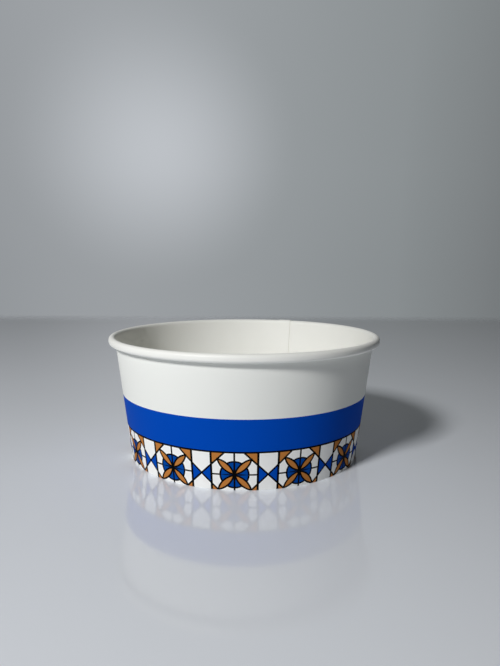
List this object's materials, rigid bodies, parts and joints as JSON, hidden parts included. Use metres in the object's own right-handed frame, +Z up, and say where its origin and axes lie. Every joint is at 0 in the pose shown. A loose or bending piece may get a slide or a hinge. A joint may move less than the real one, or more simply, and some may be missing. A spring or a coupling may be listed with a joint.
{
  "type": "paper food bowl",
  "caption": "Round paper food bowl: a conical wrapped side wall with a lapped seam and a rolled rim, folded in at the foot round a recessed base disc.",
  "frame": {"origin": "centre of the foot circle, on the surface that the bowl stands on", "axes": "+Z up along the bowl's axis, -Y to the front, the lapped seam at the back towards +X"},
  "size_m": [0.15, 0.15, 0.0671],
  "materials": {
    "printed_board": "white coated cup board, satin, printed outside with a blue band over a row of tiles in blue, orange, black and white",
    "base_board": "white coated cup board, satin, unprinted"
  },
  "bodies": {
    "root": {"side_wall": "printed_board", "base_disc": "base_board"}
  },
  "joints": []
}
